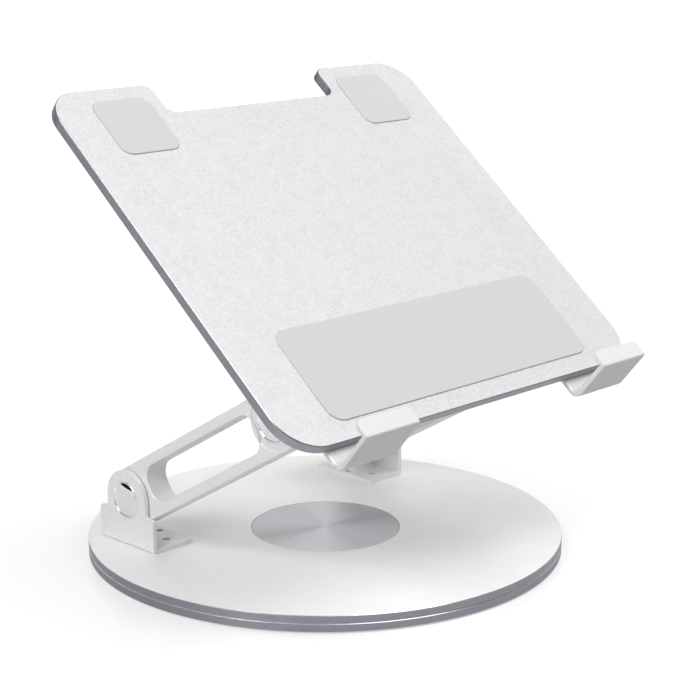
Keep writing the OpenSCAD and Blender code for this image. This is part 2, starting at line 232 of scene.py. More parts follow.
def fold(bm, corner, thickness, outerRadius, innerRadius, slices=8):
    # folds a sheet on z = 0..thickness up at y = corner, its outer faces meeting at that line
    reach = thickness + innerRadius
    for i in range(slices + 1):
        cutAt = corner + reach * (2 * i / slices - 1)
        bmesh.ops.bisect_plane(bm, geom=bm.verts[:] + bm.edges[:] + bm.faces[:], dist=near["cut"],
                               plane_co=(0, cutAt, 0), plane_no=(0, 1, 0))
    innerCentre = Vector((corner - reach, reach))
    outerCentre = Vector((corner - outerRadius, outerRadius))
    for vertex in bm.verts:
        x, y, z = vertex.co
        along = y - corner
        if along <= -reach:
            continue
        if along >= reach:
            vertex.co = (x, corner - z, along)
            continue
        turn = math.pi / 4 * (along / reach + 1)
        inner = innerCentre + innerRadius * Vector((math.sin(turn), -math.cos(turn)))
        outer = Vector((min(corner, corner + along), max(0, along)))
        if abs(along) < outerRadius:
            turn = math.pi / 4 * (along / outerRadius + 1)
            outer = outerCentre + outerRadius * Vector((math.sin(turn), -math.cos(turn)))
        bent = outer.lerp(inner, z / thickness)
        vertex.co = (x, bent.x, bent.y)


def makePiece(bm, name, place, materials, body, replaced, pick=None, sharpAngle=32):
    # turns a bmesh into a finished object that rides on its body; pick gives a face's material
    for face in bm.faces:
        face.smooth = True
        face.material_index = pick(face) if pick else 0
    mesh = bpy.data.meshes.new(name)
    bm.to_mesh(mesh)
    bm.free()
    mesh.transform(place)
    for material in materials:
        mesh.materials.append(material)
    mesh.set_sharp_from_angle(angle=math.radians(sharpAngle))
    piece = bpy.data.objects.new(name, mesh)
    bpy.context.scene.collection.objects.link(piece)
    weighted = piece.modifiers.new("weighted normals", "WEIGHTED_NORMAL")
    weighted.keep_sharp = True
    weighted.weight = 90
    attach(piece, body)
    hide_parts(*replaced)


# materials

def addNode(tree, kind, **values):
    # a node with its sockets set by name
    node = tree.nodes.new(kind)
    for key, value in values.items():
        node.inputs[key.replace("_", " ")].default_value = value
    return node


def newGroup(name, inputs, outputs):
    tree = bpy.data.node_groups.new(name, "ShaderNodeTree")
    for label, value in inputs.items():
        socket = tree.interface.new_socket(name=label, in_out="INPUT", socket_type="NodeSocketFloat")
        socket.default_value = value
    for label in outputs:
        tree.interface.new_socket(name=label, in_out="OUTPUT", socket_type="NodeSocketFloat")
    return tree, tree.nodes.new("NodeGroupInput"), tree.nodes.new("NodeGroupOutput")


def addMath(tree, operation, *values):
    # a math node from numbers and outputs of other nodes
    node = tree.nodes.new("ShaderNodeMath")
    node.operation = operation
    for socket, value in zip(node.inputs, values):
        if isinstance(value, (int, float)):
            socket.default_value = value
        else:
            tree.links.new(value, socket)
    return node.outputs["Value"]


def makeGrainGroup():
    # blasted or moulded grain: a fine height, a cell tone and a soft cloud, each around 0.5
    sizes = {"Grain": 2200, "Cloud": 18}
    tree, inside, outside = newGroup("surfaceGrain", sizes, ["Height", "Tone", "Haze"])
    place = tree.nodes.new("ShaderNodeTexCoord")
    fine = addNode(tree, "ShaderNodeTexNoise", Detail=3, Roughness=0.65)
    cells = tree.nodes.new("ShaderNodeTexVoronoi")
    split = tree.nodes.new("ShaderNodeSeparateColor")
    cloud = addNode(tree, "ShaderNodeTexNoise", Detail=4, Roughness=0.6)
    for node in (fine, cells, cloud):
        tree.links.new(place.outputs["Object"], node.inputs["Vector"])
    tree.links.new(inside.outputs["Grain"], fine.inputs["Scale"])
    tree.links.new(inside.outputs["Grain"], cells.inputs["Scale"])
    tree.links.new(inside.outputs["Cloud"], cloud.inputs["Scale"])
    tree.links.new(cells.outputs["Color"], split.inputs["Color"])
    tree.links.new(fine.outputs["Fac"], outside.inputs["Height"])
    tree.links.new(split.outputs["Red"], outside.inputs["Tone"])
    tree.links.new(cloud.outputs["Fac"], outside.inputs["Haze"])
    return tree


def makeWearGroup():
    # rubbed edges: 1 on convex edges, 0 elsewhere, broken up by noise
    tree, inside, outside = newGroup("edgeRub", {"Start": 0.52, "End": 0.6}, ["Rub"])
    shape = tree.nodes.new("ShaderNodeNewGeometry")
    place = tree.nodes.new("ShaderNodeTexCoord")
    spread = tree.nodes.new("ShaderNodeMapRange")
    patches = addNode(tree, "ShaderNodeTexNoise", Scale=160, Detail=3)
    tree.links.new(shape.outputs["Pointiness"], spread.inputs["Value"])
    tree.links.new(inside.outputs["Start"], spread.inputs["From Min"])
    tree.links.new(inside.outputs["End"], spread.inputs["From Max"])
    tree.links.new(place.outputs["Object"], patches.inputs["Vector"])
    rub = addMath(tree, "MULTIPLY", spread.outputs["Result"], patches.outputs["Fac"])
    tree.links.new(rub, outside.inputs["Rub"])
    return tree


grainGroup = makeGrainGroup()
wearGroup = makeWearGroup()


def placeGroup(tree, group, **values):
    node = tree.nodes.new("ShaderNodeGroup")
    node.node_tree = group
    for key, value in values.items():
        node.inputs[key].default_value = value
    return node


def mapTo(tree, source, low, high):
    node = tree.nodes.new("ShaderNodeMapRange")
    node.inputs["To Min"].default_value = low
    node.inputs["To Max"].default_value = high
    tree.links.new(source, node.inputs["Value"])
    return node.outputs["Result"]


def mixColours(tree, factor, first, second):
    node = tree.nodes.new("ShaderNodeMix")
    node.data_type = "RGBA"
    tree.links.new(factor, node.inputs["Factor"])
    for name, colour in (("A", first), ("B", second)):
        socket = [s for s in node.inputs if s.name == name and s.type == "RGBA"][0]
        if isinstance(colour, tuple):
            socket.default_value = (*colour, 1)
        else:
            tree.links.new(colour, socket)
    return [s for s in node.outputs if s.type == "RGBA"][0]


# painted highlight and shade for spun faces: bright and dark fans fixed round the axis, plus the tone of the fine
# turning rings
paintedFans = {"pitch": 1.4 * mm, "ringTone": 0.12, "darkTone": 0.7,
        "stops": [(0, 0.55), (0.11, 0.8), (0.24, 1), (0.33, 0.8), (0.42, 0.55), (0.6, 0.6), (0.75, 0.5),
                  (0.84, 0.3), (0.9, 0), (0.95, 0.3)]}  # (part of half a turn, lightness)


def paintedFansAndRings(tree):
    # painted highlight and shade fans of a spun face, twice round the axis, crossed by fine turning rings
    place = tree.nodes.new("ShaderNodeTexCoord")
    split = tree.nodes.new("ShaderNodeSeparateXYZ")
    tree.links.new(place.outputs["Object"], split.inputs["Vector"])
    turn = addMath(tree, "ARCTAN2", split.outputs["Y"], split.outputs["X"])
    wrap = addMath(tree, "FRACT", addMath(tree, "DIVIDE", turn, math.pi))
    out = tree.nodes.new("ShaderNodeVectorMath")
    out.operation = "LENGTH"
    tree.links.new(place.outputs["Object"], out.inputs[0])
    phase = addMath(tree, "MULTIPLY", out.outputs["Value"], 2 * math.pi / paintedFans["pitch"])
    rings = addMath(tree, "SINE", phase)
    ramp = tree.nodes.new("ShaderNodeValToRGB")
    stops = ramp.color_ramp.elements
    for index, (spot, level) in enumerate(paintedFans["stops"]):
        stop = stops[index] if index < 2 else stops.new(spot)  # a new ramp has two stops
        stop.position = spot
        stop.color = (level, level, level, 1)
    tree.links.new(wrap, ramp.inputs["Fac"])
    return addMath(tree, "MULTIPLY_ADD", rings, paintedFans["ringTone"], ramp.outputs["Color"])


def surface(name, finish):
    # two close tones by grain, a worn-edge tone, roughness by haze and bump by grain, and on spun faces painted
    # highlight and shade fans
    material = bpy.data.materials.new(name)
    material.use_nodes = True
    tree = material.node_tree
    shader = tree.nodes["Principled BSDF"]
    grain = placeGroup(tree, grainGroup, Grain=finish["grain"], Cloud=finish["cloud"])
    wear = placeGroup(tree, wearGroup, Start=finish["rubFrom"], End=finish["rubTo"])
    mixed = mixColours(tree, grain.outputs["Tone"], finish["dark"], finish["light"])
    edged = mixColours(tree, mapTo(tree, wear.outputs["Rub"], 0, finish["rub"]), mixed, finish["bare"])
    tree.links.new(edged, shader.inputs["Base Color"])
    roughness = mapTo(tree, grain.outputs["Haze"], finish["smooth"], finish["rough"])
    tree.links.new(roughness, shader.inputs["Roughness"])
    bump = addNode(tree, "ShaderNodeBump", Strength=finish["bump"], Distance=finish["depth"])
    tree.links.new(grain.outputs["Height"], bump.inputs["Height"])
    tree.links.new(bump.outputs["Normal"], shader.inputs["Normal"])
    shader.inputs["Metallic"].default_value = finish["metal"]
    shader.inputs["Anisotropic"].default_value = finish["spun"]
    shader.inputs["Sheen Weight"].default_value = finish["sheen"]
    if finish["spun"]:
        tangent = tree.nodes.new("ShaderNodeTangent")
        tangent.direction_type = "RADIAL"
        tangent.axis = "Z"
        tree.links.new(tangent.outputs["Tangent"], shader.inputs["Tangent"])
        # paints the spun face's highlight fans and darker shade fans into the base colour
        tree.links.new(mixColours(tree, paintedFansAndRings(tree), finish["paintedFanShade"], edged), shader.inputs["Base Color"])
    material.diffuse_color = (*finish["light"], 1)
    return material


bareTone = {"gain": 1.15, "lift": 0.05}


def look(tone, spread=0.02, **changes):
    # a finish from one colour: its two tones lie spread to each side, rubbed edges are brighter, and a darker copy
    # is the painted shade in a spun face's fans
    values = {"dark": tuple(c * (1 - spread) for c in tone),
              "light": tuple(min(1, c * (1 + spread)) for c in tone),
              "bare": tuple(min(1, c * bareTone["gain"] + bareTone["lift"]) for c in tone),
              "paintedFanShade": tuple(c * paintedFans["darkTone"] for c in tone),
              "rub": 0.5, "rubFrom": 0.51, "rubTo": 0.58, "grain": 2200, "cloud": 18,
              "smooth": 0.4, "rough": 0.5, "bump": 0.25, "depth": 0.04 * mm, "metal": 1, "spun": 0,
              "sheen": 0}
    values.update(changes)
    return values


finishes = {
    "finedAluminium": look((0.875, 0.875, 0.88), 0.012, metal=0.35, grain=2600,
                           smooth=0.48, rough=0.54, bump=0.1),
    # a dark tone on the tray's chamfers, painted as a shade line
    "chamferPaintedShade": look((0.22, 0.22, 0.24), smooth=0.3, rough=0.4, bump=0.1),
    "blastedAluminium": look((0.755, 0.755, 0.765), 0.08, metal=0.6, grain=1300, smooth=0.50, rough=0.53),
    "satinAluminium": look((0.80, 0.80, 0.80), 0.015, metal=0.35, grain=3200,
                           smooth=0.45, rough=0.50, bump=0.15),
    # a dark violet-grey on the walls of discs and tray, painted as shade and as reflection of the surroundings
    "rimAluminiumPaintedShade": look((0.32, 0.315, 0.355), 0.04, smooth=0.38, rough=0.48, bump=0.15),
    # partly a real polished cut, and partly a painted highlight: its tone is set lighter than the painted-shade
    # walls
    "polishedChamferPaintedHighlight": look((0.66, 0.66, 0.70), 0.01, smooth=0.2, rough=0.3, bump=0.05),
    # its spun value also paints highlight and shade fans into the colour
    "spunAluminium": look((0.81, 0.81, 0.845), grain=900, smooth=0.38, rough=0.44, bump=0.05, spun=0.5),
    # the pads' silicone made lighter, painting light onto the hooks' shaded faces
    "hookSiliconePaintedLight": look((0.63, 0.63, 0.63), 0.012, metal=0, grain=3800,
                         smooth=0.5, rough=0.6, bump=0.12, rub=0.15, sheen=0.1),
    "softSilicone": look((0.495, 0.495, 0.495), 0.012, metal=0, grain=3800,
                         smooth=0.55, rough=0.68, bump=0.12, rub=0.15, sheen=0.15),
    "chromePlate": look((0.95, 0.95, 0.96), 0.004, smooth=0.03, rough=0.08, bump=0.02),
    "turnedSteel": look((0.46, 0.46, 0.48), 0.05, grain=1600, smooth=0.26, rough=0.40, bump=0.15),
    "darkRubber": look((0.022, 0.022, 0.024), 0.1, metal=0, grain=1500, smooth=0.7, rough=0.85, bump=0.4),
    "slidePlastic": look((0.80, 0.80, 0.77), metal=0, smooth=0.35, rough=0.45, bump=0.08),
    "frictionFibre": look((0.34, 0.34, 0.35), 0.1, metal=0, grain=1800, smooth=0.6, rough=0.75, bump=0.3),
}
paint = {name: surface(name, values) for name, values in finishes.items()}
print("made", len(paint), "materials")


# which finish a face takes by where it faces, judged before the piece is tilted into place: walls take a tone of
# painted shade, and chamfers a tone that paints a highlight line on the discs and a shade line on the tray

facing = {"flat": 0.95, "wall": 0.3}


def byEdge(face):
    # 0 on flat faces, 1 on walls, 2 on the chamfer between them
    lean = abs(face.normal.z)
    if lean > facing["flat"]:
        return 0
    return 1 if lean < facing["wall"] else 2


# flat faces keep the piece's own finish; walls take painted shade; disc chamfers a painted highlight line and tray
# chamfers a painted shade line
discPaintedLightTones = [paint["finedAluminium"], paint["rimAluminiumPaintedShade"], paint["polishedChamferPaintedHighlight"]]
trayPaintedShadeTones = [paint["blastedAluminium"], paint["rimAluminiumPaintedShade"], paint["chamferPaintedShade"]]
satin = [paint["satinAluminium"]]
steel = [paint["turnedSteel"]]


discs = {"chamfer": 0.22 * mm, "segments": 256, "lowerBore": 15 * mm, "upperBore": 15.05 * mm,
         "hubSeat": 1 * mm, "washerGap": 3 * mm, "capGap": 0.12 * mm, "capBevel": 0.12 * mm}


def discRing(low, high, outer, inner):
    # closed section of a chamfered disc with a bore
    c = discs["chamfer"]
    rim = [(outer - c, low), (outer, low + c), (outer, high - c), (outer - c, high)]
    return [(inner, low)] + rim + [(inner, high)]


def makeDisc(section, name, body, node):
    bm = lathe(section, discs["segments"], closed=True)
    makePiece(bm, name, Matrix(), discPaintedLightTones, body, [node], byEdge)


def makeBasePlate():
    # the mat and the hub are let in from below, and the slide ring from above
    low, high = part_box("base_plate")
    mat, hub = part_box("foot_mat")[1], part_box("pivot_hub")[1]
    slideLow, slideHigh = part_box("slide_ring")
    bore, floor = discs["lowerBore"], mat.z + discs["hubSeat"]
    section = discRing(low.z, high.z, high.x, bore)
    section[0:1] = [(bore, floor), (hub.x, floor), (hub.x, mat.z), (mat.x, mat.z), (mat.x, low.z)]
    section[-1:] = [(slideHigh.x, high.z), (slideHigh.x, slideLow.z), (bore, slideLow.z)]
    makeDisc(section, "lowerDisc", "base", "base_plate")


def makeTurntable():
    # the spun cap sits in a bevelled seat, with the washer's pocket under it
    low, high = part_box("turntable")
    capLow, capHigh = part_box("centre_cap")
    washerLow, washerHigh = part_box("retaining_washer")
    bore, bevel = discs["upperBore"], discs["capBevel"]
    pocket, seat = washerHigh.x + discs["washerGap"], capHigh.x + discs["capGap"]
    section = discRing(low.z, high.z, high.x, bore)
    section[-1:] = [(seat + bevel, high.z), (seat, high.z - bevel), (seat, capLow.z), (pocket, capLow.z),
                    (pocket, washerLow.z), (bore, washerLow.z)]
    makeDisc(section, "upperDisc", "turntable", "turntable")


centreCap = {"grooves": 44, "depth": 0.035 * mm, "rim": 0.9 * mm, "bevel": 0.12 * mm, "segments": 192}


def makeCentreCap():
    low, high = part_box("centre_cap")
    radius, bevel = high.x, centreCap["bevel"]
    pitch = (radius - centreCap["rim"]) / centreCap["grooves"]
    floor = high.z - centreCap["depth"]
    section = [(0, low.z), (radius - bevel, low.z), (radius, low.z + bevel), (radius, high.z - bevel),
               (radius - bevel, high.z)]
    for i in range(centreCap["grooves"] - 1, -1, -1):
        section.append(((i + 1) * pitch, high.z))
        section.append(((i + 0.5) * pitch, floor))
    section.append((0, high.z))
    makePiece(lathe(section, centreCap["segments"]), "spunCap", Matrix(), [paint["spunAluminium"]],
              "turntable", ["centre_cap"])


footMat = {"grooves": 14, "pitch": 6 * mm, "width": 1 * mm, "depth": 0.25 * mm, "edge": 0.2 * mm,
           "segments": 160}


def makeFootMat():
    low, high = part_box("foot_mat")
    radius, edge = high.x, footMat["edge"]
    section = [(0, low.z)]
    for i in range(1, footMat["grooves"] + 1):
        middle, half = i * footMat["pitch"], footMat["width"] / 2
        section += [(middle - half, low.z), (middle, low.z + footMat["depth"]), (middle + half, low.z)]
    section += [(radius - edge, low.z), (radius, low.z + edge), (radius, high.z), (0, high.z)]
    makePiece(lathe(section, footMat["segments"]), "footMat", Matrix(), [paint["darkRubber"]], "base",
              ["foot_mat"], sharpAngle=20)


makeBasePlate()
makeTurntable()
makeCentreCap()
makeFootMat()
print("base made")


bracket = {"sheet": 2 * mm, "outerBend": 1.6 * mm, "innerBend": 0.35 * mm, "shoulder": 14.25 * mm,
           "shoulderRound": 1.5 * mm, "flangeRound": 0.8 * mm, "edge": 0.22 * mm, "screwBore": 1.55 * mm,
           "pinBore": 4.05 * mm, "boreEdge": 0.12 * mm, "screwSide": 12.5 * mm, "screwSpread": 10.1 * mm,
           "screwStep": 4.9 * mm, "ear": 12.15 * mm, "earTip": 0.01 * mm}


def bracketMesh(width, flange, axisHeight):
    # L bracket: flange on z = 0 from y = 0, ear folded up at y = flange
    b = bracket
    half, ear = width / 2, b["ear"]
    top, earRound = flange + axisHeight + ear, ear - b["earTip"]
    shoulder = flange + b["shoulder"]
    outline = roundOutline([
        (-half, 0, b["flangeRound"]), (half, 0, b["flangeRound"]), (half, shoulder, b["shoulderRound"]),
        (ear, shoulder, b["shoulderRound"]), (ear, top, earRound), (-ear, top, earRound),
        (-ear, shoulder, b["shoulderRound"]), (-half, shoulder, b["shoulderRound"])], steps=12)
    bores = [circle(0, flange + axisHeight, b["pinBore"])]
    row = flange - b["screwSide"]
    for x, y in ((-b["screwSpread"], row), (0, row - b["screwStep"]), (b["screwSpread"], row)):
        bores.append(circle(x, y, b["screwBore"], steps=24))
    wall = edgeSteps(0, b["sheet"], b["boreEdge"], steps=1)
    bm = plate(outline, 0, b["sheet"], b["edge"], steps=2, holes=[(bore, wall) for bore in bores])
    fold(bm, flange, b["sheet"], b["outerBend"], b["innerBend"])
    return bm


def makeBaseBrackets():
    for side, sign in sides.items():
        name = "base_bracket_" + side
        low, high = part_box(name)
        place = axes((0, -sign, 0), (sign, 0, 0), (0, 0, 1),
                     (min(abs(low.x), abs(high.x)) * sign, lowerAxis.y, low.z))
        makePiece(bracketMesh(high.y - low.y, high.x - low.x, lowerAxis.z - low.z), "baseBracket_" + side,
                  place, satin, "turntable", [name])


def makeTrayBrackets():
    axisAt = trayPlace.inverted() @ upperAxis
    for side, sign in sides.items():
        name = "tray_bracket_" + side
        low, high = localBox(name, trayPlace)
        place = trayPlace @ axes((0, sign, 0), (sign, 0, 0), (0, 0, -1),
                                 (min(abs(low.x), abs(high.x)) * sign, axisAt.y, high.z))
        makePiece(bracketMesh(high.y - low.y, high.x - low.x, high.z - axisAt.z), "trayBracket_" + side,
                  place, satin, "tray", [name])


makeBaseBrackets()
makeTrayBrackets()
print("brackets made")


arm = {"tipRound": 8 * mm, "edge": 0.55 * mm, "windowStart": 14.4 * mm, "windowEnd": 9.3 * mm,
       "windowHeight": 15.7 * mm, "windowRound": 6.3 * mm, "pocket": 10.9 * mm, "pocketDepth": 0.6 * mm,
       "pocketEdge": 0.1 * mm, "pinBore": 4.05 * mm, "boreEdge": 0.2 * mm, "endTip": 0.01 * mm}


def makeArms():
    for side, sign in sides.items():
        name = "arm_" + side
        outward = across * sign
        place = axes(alongArm, outward.cross(alongArm), outward, lowerAxis)
        low, high = localBox(name, place)
        half, reach = high.y, (upperAxis - lowerAxis).length
        endRound, tipRound = half - arm["endTip"], arm["tipRound"]
        outline = roundOutline([(low.x, -half, endRound), (high.x, -half, tipRound),
                                (high.x, half, tipRound), (low.x, half, endRound)], steps=20)
        tall = arm["windowHeight"] / 2
        window = roundOutline(boxCorners(arm["windowStart"], reach - arm["windowEnd"], -tall, tall,
                                         arm["windowRound"]), steps=12)
        seat, rim = high.z - arm["pocketDepth"], arm["pocketEdge"]
        step = arm["pocket"] - arm["pinBore"]
        stepped = [(0, low.z), (0, seat), (step, seat), (step, high.z - rim), (step + rim, high.z)]
        bm = plate(outline, low.z, high.z, arm["edge"], steps=3, holes=[
            (window, edgeSteps(low.z, high.z, arm["edge"], steps=3)),
            (circle(0, 0, arm["pinBore"]), edgeSteps(low.z, high.z, arm["boreEdge"], steps=1)),
            (circle(reach, 0, arm["pinBore"], steps=64), stepped)])
        makePiece(bm, "arm_" + side + "_look", place, satin, "arms", [name])


makeArms()
print("arms made")


# hinge hardware, turned about the hinge axis and facing outwards

def hingePlace(axisPoint, sign):
    outward = across * sign
    forward = Vector((0, 1, 0))
    return axes(forward, outward.cross(forward), outward, (0, axisPoint.y, axisPoint.z))


cap = {"flat": 0.15, "drop": 0.7, "bead": 0.6 * mm, "beadRise": 0.22 * mm, "round": 0.2 * mm,
       "foot": 0.15 * mm, "steps": 18, "segments": 72}


def makeCap(name, place, body):
    # a shallow dome inside a raised bead
    low, high = localBox(name, place)
    radius, z = high.x, low.z
    flat, rim = radius * cap["flat"], radius - cap["bead"]
    drop = (high.z - z) * cap["drop"]
    crest = high.z - drop + cap["beadRise"]
    section = [(0, z), (radius - cap["foot"], z), (radius, z + cap["foot"])]
    section += roundPath([(radius, z, 0), (radius, crest, cap["round"]), (rim, crest, cap["round"]),
                          (rim, high.z - drop, 0)], steps=5)[1:]
    for i in range(cap["steps"] - 1, -1, -1):
        part = i / cap["steps"]
        section.append((flat + (rim - flat) * part, high.z - drop * part * part))
    section.append((0, high.z))
    makePiece(lathe(section, cap["segments"]), name.replace("_", ""), place, [paint["chromePlate"]], body,
              [name], sharpAngle=50)


pin = {"shaft": 4 * mm, "centreFloor": 1.2 * mm, "centreRim": 1.6 * mm, "centreDepth": 0.5 * mm,
       "point": 0.6 * mm, "threads": 8, "lead": 0.3 * mm, "pitch": 0.5 * mm, "threadDepth": 0.28 * mm,
       "headGap": 0.1 * mm, "headHeight": 0.9 * mm, "headWall": 0.15 * mm, "coneFoot": 0.25 * mm,
       "coneInset": 0.4 * mm, "headSink": 0.05 * mm, "segments": 64}


def makePin(name, place, body):
    # threaded at its inner end, with a low coned head that stays under the cap
    low, high = localBox(name, place)
    shaft, head = pin["shaft"], high.x - pin["headGap"]
    seat, top = high.z - pin["headHeight"], high.z - pin["headSink"]
    section = [(0, low.z + pin["centreDepth"]), (pin["centreFloor"], low.z + pin["centreDepth"]),
               (pin["centreRim"], low.z), (shaft - pin["point"], low.z)]
    for i in range(pin["threads"]):
        start = low.z + pin["lead"] + pin["pitch"] * i
        section += [(shaft - pin["threadDepth"], start), (shaft, start + pin["pitch"] / 2)]
    section += [(shaft, seat), (head, seat), (head, seat + pin["headWall"]),
                (head - pin["coneInset"], seat + pin["coneFoot"]), (shaft, top), (0, top)]
    makePiece(lathe(section, pin["segments"]), name.replace("_", ""), place, steel, body, [name])


nut = {"flat": 6.5 * mm, "cornerRound": 0.5 * mm, "edge": 0.45 * mm, "bore": 4.03 * mm, "boreEdge": 0.4 * mm}


def makeNut(name, place, body):
    low, high = localBox(name, place)
    corner = nut["flat"] / math.cos(math.pi / 6)
    hexagon = [(corner * math.cos(math.pi / 3 * i), corner * math.sin(math.pi / 3 * i), nut["cornerRound"])
               for i in range(6)]
    bore = (circle(0, 0, nut["bore"]), edgeSteps(low.z, high.z, nut["boreEdge"], steps=2))
    bm = plate(roundOutline(hexagon, steps=5), low.z, high.z, nut["edge"], steps=3, holes=[bore])
    makePiece(bm, name.replace("_", ""), place, steel, body, [name])


washer = {"bore": 4.05 * mm, "segments": 72, "frictionEdge": 0.05 * mm, "springEdge": 0.2 * mm}


def makeWasher(name, place, body, material, edge):
    low, high = localBox(name, place)
    rim = circle(0, 0, high.x, washer["segments"])
    bore = (circle(0, 0, washer["bore"]), edgeSteps(low.z, high.z, edge, steps=2))
    bm = plate(rim, low.z, high.z, edge, steps=2, holes=[bore])
    makePiece(bm, name.replace("_", ""), place, [material], body, [name])


for side, sign in sides.items():
    for level, axisPoint, body in (("lower_", lowerAxis, "turntable"), ("upper_", upperAxis, "arms")):
        place = hingePlace(axisPoint, sign)
        makeCap(level + "cap_" + side, place, body)
        makePin(level + "pin_" + side, place, body)
        makeNut(level + "nut_" + side, place, body)
        makeWasher(level + "friction_washer_" + side, place, body, paint["frictionFibre"],
                   washer["frictionEdge"])
        makeWasher(level + "spring_washer_" + side, place, body, paint["turnedSteel"],
                   washer["springEdge"])
print("hinges made")


tray = {"topRound": 15 * mm, "frontRound": 17.5 * mm, "notchWidth": 93.2 * mm, "notchDepth": 16.2 * mm,
        "notchRound": 4.5 * mm, "chamfer": 0.3 * mm, "seatGap": 0.12 * mm, "seatDepth": 0.5 * mm}
pad = {"mainRound": 6.3 * mm, "cornerRound": 4.7 * mm, "edge": 0.35 * mm}
padRounds = {"main_pad": pad["mainRound"], "corner_pad_left": pad["cornerRound"],
             "corner_pad_right": pad["cornerRound"]}


def padOutline(name, grow):
    low, high = localBox(name, trayPlace)
    radius = padRounds[name] + grow
    corners = boxCorners(low.x - grow, high.x + grow, low.y - grow, high.y + grow, radius)
    return roundOutline(corners, steps=10)


def makeTray():
    low, high = localBox("tray", trayPlace)
    notch, floor = tray["notchWidth"] / 2, high.y - tray["notchDepth"]
    outline = roundOutline([
        (low.x, 0, tray["frontRound"]), (high.x, 0, tray["frontRound"]), (high.x, high.y, tray["topRound"]),
        (notch, high.y, tray["notchRound"]), (notch, floor, tray["notchRound"]),
        (-notch, floor, tray["notchRound"]), (-notch, high.y, tray["notchRound"]),
        (low.x, high.y, tray["topRound"])], steps=16)
    seats = [(padOutline(name, tray["seatGap"]), tray["seatDepth"]) for name in padRounds]
    bm = plate(outline, low.z, high.z, tray["chamfer"], steps=1, pockets=seats)
    makePiece(bm, "trayPlate", trayPlace, trayPaintedShadeTones, "tray", ["tray"], byEdge)


def makePads():
    for name in padRounds:
        low, high = localBox(name, trayPlace)
        bm = plate(padOutline(name, 0), low.z, high.z, pad["edge"], steps=3)
        makePiece(bm, name.replace("_", ""), trayPlace, [paint["softSilicone"]], "tray", [name])


makeTray()
makePads()
print("tray made")


# a hook is drawn as a bent strip seen from the side, as wide as the hook
hook = {"metal": 2.1 * mm, "bend": 4.2 * mm, "lipLength": 7.8 * mm, "lipRound": 3 * mm, "topRound": 0.8 * mm,
        "smallRound": 0.3 * mm, "tipRound": 0.6 * mm, "edge": 0.55 * mm, "bareFrom": 4.3 * mm,
        "lipDepth": 1.2, "slices": 10}  # lipDepth in thicknesses of the metal
liner = {"cornerRound": 1.5 * mm, "edge": 0.25 * mm}


def narrowLip(bm, end, half, lip):
    # rounds the lip's two plan corners by drawing its end in
    radius = hook["lipRound"]
    centre = end - radius
    for i in range(hook["slices"]):
        cutAt = centre + radius * math.sin(math.pi / 2 * i / hook["slices"])
        bmesh.ops.bisect_plane(bm, geom=bm.verts[:] + bm.edges[:] + bm.faces[:], dist=near["cut"],
                               plane_co=(cutAt, 0, 0), plane_no=(1, 0, 0))
    for vertex in bm.verts:
        if vertex.co.x > centre and vertex.co.y > lip:
            past = min(1, (vertex.co.x - centre) / radius)
            vertex.co.z *= (half - radius * (1 - math.sqrt(1 - past * past))) / half


def makeHook(side):
    low, high = localBox("hook_" + side, trayPlace)
    t, small, tip = hook["metal"], hook["smallRound"], hook["tipRound"]
    front, back, under, top = low.y, high.y, low.z, high.z
    half, lipEnd = (high.x - low.x) / 2, front + hook["lipLength"]
    outline = roundOutline([
        (back, under, small), (front, under, hook["bend"]), (front, top, hook["topRound"]),
        (lipEnd, top, tip), (lipEnd, top - t, tip), (front + t, top - t, small),
        (front + t, under + t, hook["bend"] - t), (back, under + t, small)][::-1], steps=8)
    bm = plate(outline, -half, half, hook["edge"], steps=3)
    narrowLip(bm, lipEnd, half, top - hook["lipDepth"] * t)

    def bareFoot(face):
        # the foot under the tray is bare metal, and the rest is coated
        middle = face.calc_center_median()
        return int(middle.x > front + hook["bareFrom"] and middle.y < 0)

    place = trayPlace @ axes((0, 1, 0), (0, 0, 1), (1, 0, 0), ((low.x + high.x) / 2, 0, 0))
    # the coat is the pads' silicone made lighter as painted light; the foot is satin aluminium
    makePiece(bm, "hook_" + side + "_look", place, [paint["hookSiliconePaintedLight"], paint["satinAluminium"]], "tray",
              ["hook_" + side], bareFoot)


def makeLiner(side):
    low, high = localBox("hook_liner_" + side, trayPlace)
    outline = roundOutline(boxCorners(low.x, high.x, low.z, high.z, liner["cornerRound"]), steps=6)
    place = trayPlace @ axes((1, 0, 0), (0, 0, 1), (0, -1, 0), (0, low.y, 0))
    bm = plate(outline, low.y - high.y, 0, liner["edge"], steps=2)
    makePiece(bm, "hookLiner_" + side, place, [paint["softSilicone"]], "tray", ["hook_liner_" + side])


for side in sides:
    makeHook(side)
    makeLiner(side)
print("hooks made")


# countersunk screws under the tray, each with a hexagon socket
screw = {"head": 2.7 * mm, "shank": 1.45 * mm, "cone": 1.3 * mm, "edge": 0.1 * mm, "socket": 1.05 * mm,
         "socketDepth": 1.0 * mm, "segments": 48}


def screwPlaces(name, place):
    # middle, head level and tip level of every screw in a node, in the tray's own frame
    solids = bmesh.new()
    solids.from_mesh(nodes[name].data)
    solids.transform(place.inverted())
    bmesh.ops.remove_doubles(solids, verts=solids.verts[:], dist=near["point"])
    left, found = set(solids.verts), []
    while left:
        island, waiting = set(), [left.pop()]
        while waiting:
            vertex = waiting.pop()
            island.add(vertex)
            joined = {link.other_vert(vertex) for link in vertex.link_edges} & left
            left -= joined
            waiting += joined
        xs, ys, zs = zip(*(vertex.co for vertex in island))
        found.append(((min(xs) + max(xs)) / 2, (min(ys) + max(ys)) / 2, min(zs), max(zs)))
    solids.free()
    return sorted(found)


